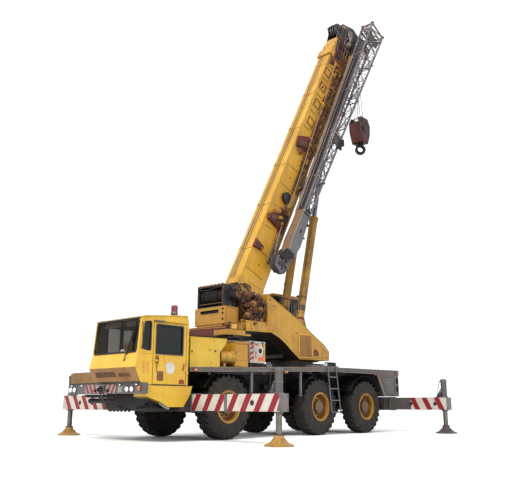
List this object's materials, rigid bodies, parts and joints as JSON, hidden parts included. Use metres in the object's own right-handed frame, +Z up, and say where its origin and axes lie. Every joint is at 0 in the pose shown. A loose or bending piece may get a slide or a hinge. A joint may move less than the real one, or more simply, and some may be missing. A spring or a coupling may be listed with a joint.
{
  "type": "mobile crane",
  "caption": "Mobile crane with a raised telescopic boom, stowed lattice jib, hook block, half-width driver's cab, slewing upper works and outriggers that slide out.",
  "frame": {"origin": "under the middle of the crane's own box, on the ground (bottom centre of the bounding box)", "axes": "+X forwards, towards the driver cab; +Y to port, the driver side; +Z up"},
  "size_m": [10.1157, 7.0998, 13.2781],
  "materials": {
    "yellow_paint": "gloss, weathered",
    "boom_paint": "satin, weathered",
    "dark_paint": "satin",
    "chassis_paint": "matt, dusty",
    "grey_paint": "satin",
    "white_paint": "satin",
    "barrel_paint": "satin",
    "rod_chrome": "polished",
    "hook_steel": "painted",
    "engine_iron": "matt",
    "windscreen_glass": "clear",
    "black_plastic": "matt",
    "seat_leather": "matt",
    "tyre_rubber": "matt",
    "rim_paint": "satin",
    "stripe_paint": "satin, striped",
    "jack_steel": "worn"
  },
  "bodies": {
    "carrier": {"carrier_frame": "chassis_paint", "deck": "chassis_paint", "front_bumper": "grey_paint", "nose_cowl": "yellow_paint", "cab_shell": "yellow_paint", "cab_windscreen": "windscreen_glass", "driver_seat": "seat_leather", "steering_wheel": "black_plastic", "engine_cover": "yellow_paint", "engine": "engine_iron", "air_cleaner": "yellow_paint", "side_box": "yellow_paint", "battery_box": "white_paint", "fuel_tank": "chassis_paint", "gearbox": "engine_iron", "ladder": "chassis_paint", "axle_front": "chassis_paint", "axle_middle": "chassis_paint", "axle_rear": "chassis_paint"},
    "cab_door": {"cab_door": "yellow_paint"},
    "knuckle_port": {"knuckle_port": "chassis_paint"},
    "knuckle_starboard": {"knuckle_starboard": "chassis_paint"},
    "wheel_front_port": {"tyre_front_port": "tyre_rubber", "rim_front_port": "rim_paint"},
    "wheel_front_starboard": {"tyre_front_starboard": "tyre_rubber", "rim_front_starboard": "rim_paint"},
    "wheel_middle_port": {"tyre_middle_port": "tyre_rubber", "rim_middle_port": "rim_paint"},
    "wheel_middle_starboard": {"tyre_middle_starboard": "tyre_rubber", "rim_middle_starboard": "rim_paint"},
    "wheel_rear_port": {"tyre_rear_port": "tyre_rubber", "rim_rear_port": "rim_paint"},
    "wheel_rear_starboard": {"tyre_rear_starboard": "tyre_rubber", "rim_rear_starboard": "rim_paint"},
    "outrigger_front_port": {"beam_front_port": "stripe_paint"},
    "jack_front_port": {"jack_front_port": "jack_steel"},
    "outrigger_front_starboard": {"beam_front_starboard": "stripe_paint"},
    "jack_front_starboard": {"jack_front_starboard": "jack_steel"},
    "outrigger_rear_port": {"beam_rear_port": "stripe_paint"},
    "jack_rear_port": {"jack_rear_port": "jack_steel"},
    "outrigger_rear_starboard": {"beam_rear_starboard": "stripe_paint"},
    "jack_rear_starboard": {"jack_rear_starboard": "jack_steel"},
    "superstructure": {"turntable": "yellow_paint", "counterweight": "yellow_paint", "winch": "dark_paint", "valve_unit": "dark_paint", "operator_cab": "yellow_paint"},
    "operator_door": {"operator_door": "yellow_paint"},
    "boom": {"boom_base": "boom_paint", "jib": "dark_paint"},
    "lift_cylinder_port": {"lift_cylinder_port": "barrel_paint"},
    "lift_rod_port": {"lift_rod_port": "rod_chrome"},
    "lift_cylinder_starboard": {"lift_cylinder_starboard": "barrel_paint"},
    "lift_rod_starboard": {"lift_rod_starboard": "rod_chrome"},
    "section_2": {"boom_section_2": "boom_paint"},
    "section_3": {"boom_section_3": "boom_paint", "boom_head": "dark_paint"},
    "low_sheaves": {"low_sheaves": "dark_paint"},
    "hook_block": {"hook_block": "dark_paint"},
    "hook": {"hook": "hook_steel"}
  },
  "joints": [
    {"name": "steer_port", "type": "hinge", "parent": "carrier", "child": "knuckle_port", "pos_m": [2.497, 0.625, 0.685], "axis": [0, 0, 1], "range_deg": [-26, 26]},
    {"name": "steer_starboard", "type": "hinge", "parent": "carrier", "child": "knuckle_starboard", "pos_m": [2.497, -1.075, 0.685], "axis": [0, 0, 1], "range_deg": [-26, 26]},
    {"name": "roll_front_port", "type": "hinge", "parent": "knuckle_port", "child": "wheel_front_port", "pos_m": [2.497, 0.825, 0.685], "axis": [0, 1, 0], "continuous": true},
    {"name": "roll_front_starboard", "type": "hinge", "parent": "knuckle_starboard", "child": "wheel_front_starboard", "pos_m": [2.497, -1.275, 0.685], "axis": [0, 1, 0], "continuous": true},
    {"name": "roll_middle_port", "type": "hinge", "parent": "carrier", "child": "wheel_middle_port", "pos_m": [-0.722, 0.825, 0.685], "axis": [0, 1, 0], "continuous": true},
    {"name": "roll_middle_starboard", "type": "hinge", "parent": "carrier", "child": "wheel_middle_starboard", "pos_m": [-0.722, -1.275, 0.685], "axis": [0, 1, 0], "continuous": true},
    {"name": "roll_rear_port", "type": "hinge", "parent": "carrier", "child": "wheel_rear_port", "pos_m": [-2.737, 0.825, 0.685], "axis": [0, 1, 0], "continuous": true},
    {"name": "roll_rear_starboard", "type": "hinge", "parent": "carrier", "child": "wheel_rear_starboard", "pos_m": [-2.737, -1.275, 0.685], "axis": [0, 1, 0], "continuous": true},
    {"name": "cab_door_hinge", "type": "hinge", "parent": "carrier", "child": "cab_door", "pos_m": [3.771, 1.06, 1.7], "axis": [0, 0, 1], "range_deg": [0, 75]},
    {"name": "outrigger_front_port_slide", "type": "slide", "parent": "carrier", "child": "outrigger_front_port", "axis": [0, 1, 0], "range_m": [-2, 0]},
    {"name": "jack_front_port_slide", "type": "slide", "parent": "outrigger_front_port", "child": "jack_front_port", "axis": [0, 0, 1], "range_m": [-0.2, 0.37]},
    {"name": "outrigger_front_starboard_slide", "type": "slide", "parent": "carrier", "child": "outrigger_front_starboard", "axis": [0, -1, 0], "range_m": [-1.55, 0.45]},
    {"name": "jack_front_starboard_slide", "type": "slide", "parent": "outrigger_front_starboard", "child": "jack_front_starboard", "axis": [0, 0, 1], "range_m": [-0.2, 0.37]},
    {"name": "outrigger_rear_port_slide", "type": "slide", "parent": "carrier", "child": "outrigger_rear_port", "axis": [0, 1, 0], "range_m": [-1.35, 0.65]},
    {"name": "jack_rear_port_slide", "type": "slide", "parent": "outrigger_rear_port", "child": "jack_rear_port", "axis": [0, 0, 1], "range_m": [-0.2, 0.37]},
    {"name": "outrigger_rear_starboard_slide", "type": "slide", "parent": "carrier", "child": "outrigger_rear_starboard", "axis": [0, -1, 0], "range_m": [-0.1, 1.9]},
    {"name": "jack_rear_starboard_slide", "type": "slide", "parent": "outrigger_rear_starboard", "child": "jack_rear_starboard", "axis": [0, 0, 1], "range_m": [-0.2, 0.37]},
    {"name": "slew", "type": "hinge", "parent": "carrier", "child": "superstructure", "pos_m": [-0.982, -0.225, 1.8], "axis": [0, 0, 1], "continuous": true},
    {"name": "operator_door_hinge", "type": "hinge", "parent": "superstructure", "child": "operator_door", "pos_m": [-0.875, -1.5, 2.8], "axis": [0, 0, 1], "range_deg": [0, 80]},
    {"name": "luff", "type": "hinge", "parent": "superstructure", "child": "boom", "pos_m": [0.618, -0.225, 3.15], "axis": [0, 1, 0], "range_deg": [-62.8, 15.2]},
    {"name": "lift_cylinder_port_pivot", "type": "hinge", "parent": "superstructure", "child": "lift_cylinder_port", "pos_m": [-0.902, 0.075, 2.25], "axis": [0, 1, 0], "range_deg": [-68.69, 16.63]},
    {"name": "lift_rod_port_slide", "type": "slide", "parent": "lift_cylinder_port", "child": "lift_rod_port", "axis": [-0.2273, 0, 0.9738], "range_m": [-1.765, 0.428]},
    {"name": "lift_cylinder_starboard_pivot", "type": "hinge", "parent": "superstructure", "child": "lift_cylinder_starboard", "pos_m": [-0.902, -0.525, 2.25], "axis": [0, 1, 0], "range_deg": [-68.69, 16.63]},
    {"name": "lift_rod_starboard_slide", "type": "slide", "parent": "lift_cylinder_starboard", "child": "lift_rod_starboard", "axis": [-0.2273, 0, 0.9738], "range_m": [-1.765, 0.428]},
    {"name": "section_2_slide", "type": "slide", "parent": "boom", "child": "section_2", "axis": [-0.4571, 0, 0.8894], "range_m": [0, 6.5]},
    {"name": "section_3_slide", "type": "slide", "parent": "section_2", "child": "section_3", "axis": [-0.4571, 0, 0.8894], "range_m": [0, 6.5]},
    {"name": "low_sheaves_turn", "type": "hinge", "parent": "section_3", "child": "low_sheaves", "pos_m": [-4.51806, -0.225, 12.75989], "axis": [0, 1, 0], "range_deg": [-15.2, 62.8]},
    {"name": "hoist", "type": "slide", "parent": "low_sheaves", "child": "hook_block", "axis": [0, 0, 1], "range_m": [-6.4, 2.1]},
    {"name": "hook_swivel", "type": "hinge", "parent": "hook_block", "child": "hook", "pos_m": [-4.71306, -0.22, 9.64], "axis": [0, 0, 1], "continuous": true}
  ],
  "couplings": [
    {"joint": "steer_starboard", "follows": "steer_port", "ratio": 1},
    {"joint": "section_3_slide", "follows": "section_2_slide", "ratio": 1},
    {"joint": "low_sheaves_turn", "follows": "luff", "ratio": -1},
    {"joint": "lift_cylinder_port_pivot", "follows": "luff", "ratio": 1.0936},
    {"joint": "lift_rod_port_slide", "follows": "luff", "m_per_rad": 1.6094},
    {"joint": "lift_cylinder_starboard_pivot", "follows": "luff", "ratio": 1.0936},
    {"joint": "lift_rod_starboard_slide", "follows": "luff", "m_per_rad": 1.6094}
  ]
}
